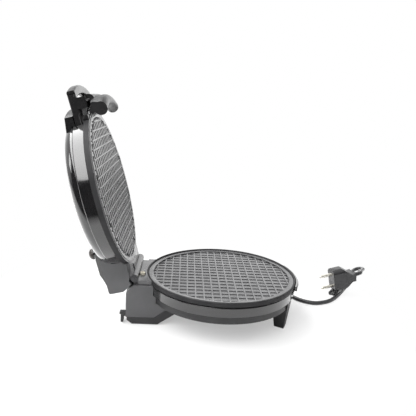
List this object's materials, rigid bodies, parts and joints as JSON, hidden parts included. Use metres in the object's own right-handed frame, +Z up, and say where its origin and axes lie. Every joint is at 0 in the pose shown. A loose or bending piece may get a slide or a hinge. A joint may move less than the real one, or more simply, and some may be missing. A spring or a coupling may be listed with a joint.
{
  "type": "waffle maker",
  "caption": "Round cone waffle maker, lid open: two hinged grid plates, gloss shells, grey hinge blocks, bow handle with latch, dial behind, lead with two-pin plug",
  "frame": {"origin": "on the table, under the middle of the appliance with its lid open, the free lead left out", "axes": "+X from the hinge towards the latch catch at the front, +Z up from the table, +Y to the side where the mains lead leaves"},
  "size_m": [0.4624, 0.2694, 0.2949],
  "materials": {
    "gloss_black": "high gloss",
    "satin_grey": "satin moulded",
    "dark_pan": "fine grain",
    "rubber_black": "soft matt",
    "cast_plate": "grey non-stick coating",
    "steel": "bright plated",
    "dark_steel": "blackened",
    "chrome": "polished",
    "heater": "dull sheath",
    "cream": "glass-fibre sleeve",
    "cord_black": "smooth PVC",
    "pin_nickel": "nickel plated",
    "ceramic": "ceramic body",
    "lamp": "tinted lens",
    "knob_brown": "semi-gloss"
  },
  "bodies": {
    "base": {"bottom_pan": "dark_pan", "base_casing": "satin_grey", "base_band": "gloss_black", "front_feet": "dark_pan", "rubber_feet": "rubber_black", "rear_standoffs": "dark_pan", "latch_catch": "gloss_black", "lower_plate": "cast_plate", "lower_reflector": "steel", "lower_element": "heater", "lower_plate_screws": "steel", "casing_screws": "steel", "terminal_block": "ceramic", "lower_thermal_fuse": "ceramic", "base_leads": "cream", "cord_clamp": "dark_pan", "strain_relief": "cord_black", "harness_bush": "cream", "hinge_pin": "dark_steel", "hinge_clips": "dark_steel", "mains_cord": "cord_black", "cord_hank": "cord_black", "cord_tie": "cord_black", "plug_lead": "cord_black", "plug_body": "cord_black", "plug_pins": "pin_nickel"},
    "lid": {"upper_plate": "cast_plate", "lid_band": "gloss_black", "lid_cap": "gloss_black", "lid_block": "satin_grey", "control_cover": "gloss_black", "handle_mount": "gloss_black", "handle": "gloss_black", "handle_spacers": "chrome", "upper_reflector": "steel", "upper_element": "heater", "upper_plate_screws": "steel", "thermostat": "ceramic", "pilot_lamps": "lamp", "lid_leads": "cream", "upper_thermal_fuse": "ceramic", "latch_pin": "steel"},
    "latch": {"latch": "gloss_black"},
    "knob": {"thermostat_knob": "knob_brown"}
  },
  "joints": [
    {"name": "lid_hinge", "type": "hinge", "parent": "base", "child": "lid", "pos_m": [-0.06612, 0, 0.0602], "axis": [0, 1, 0], "range_deg": [0, 105.8]},
    {"name": "latch_pivot", "type": "hinge", "parent": "lid", "child": "latch", "pos_m": [-0.12463, 0, 0.27873], "axis": [0, -1, 0], "range_deg": [0, 50]},
    {"name": "knob_turn", "type": "hinge", "parent": "lid", "child": "knob", "pos_m": [-0.11819, -0.025, 0.08704], "axis": [-0.9622, 0, -0.2723], "range_deg": [0, 270]}
  ]
}
